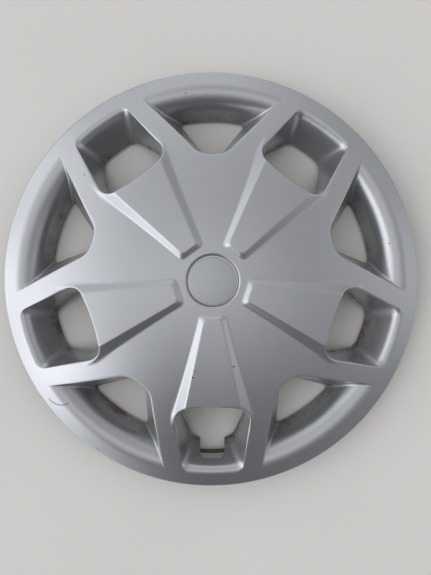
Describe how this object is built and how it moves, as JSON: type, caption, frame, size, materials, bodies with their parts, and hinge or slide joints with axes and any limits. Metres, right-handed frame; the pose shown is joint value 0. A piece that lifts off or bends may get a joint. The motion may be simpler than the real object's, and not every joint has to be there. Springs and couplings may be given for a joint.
{
  "type": "hubcap",
  "caption": "Domed moulded wheel cover with raised arm panels, windows with sloping walls, a blank centre badge, a valve notch, retaining legs and a spring wire ring.",
  "frame": {"origin": "on the wheel axis, in the plane of the leg tips that the cover rests on", "axes": "+Z along the wheel axis out of the face, -Y towards the port with the valve notch"},
  "size_m": [0.425, 0.425, 0.0589],
  "materials": {
    "silver_paint": "satin metallic silver paint, with brake dust in the windows",
    "spring_steel": "dark oiled spring wire",
    "badge_silver": "satin metallic silver paint"
  },
  "bodies": {
    "root": {"cover": "silver_paint", "retaining_ring": "spring_steel", "centre_badge": "badge_silver"}
  },
  "joints": []
}
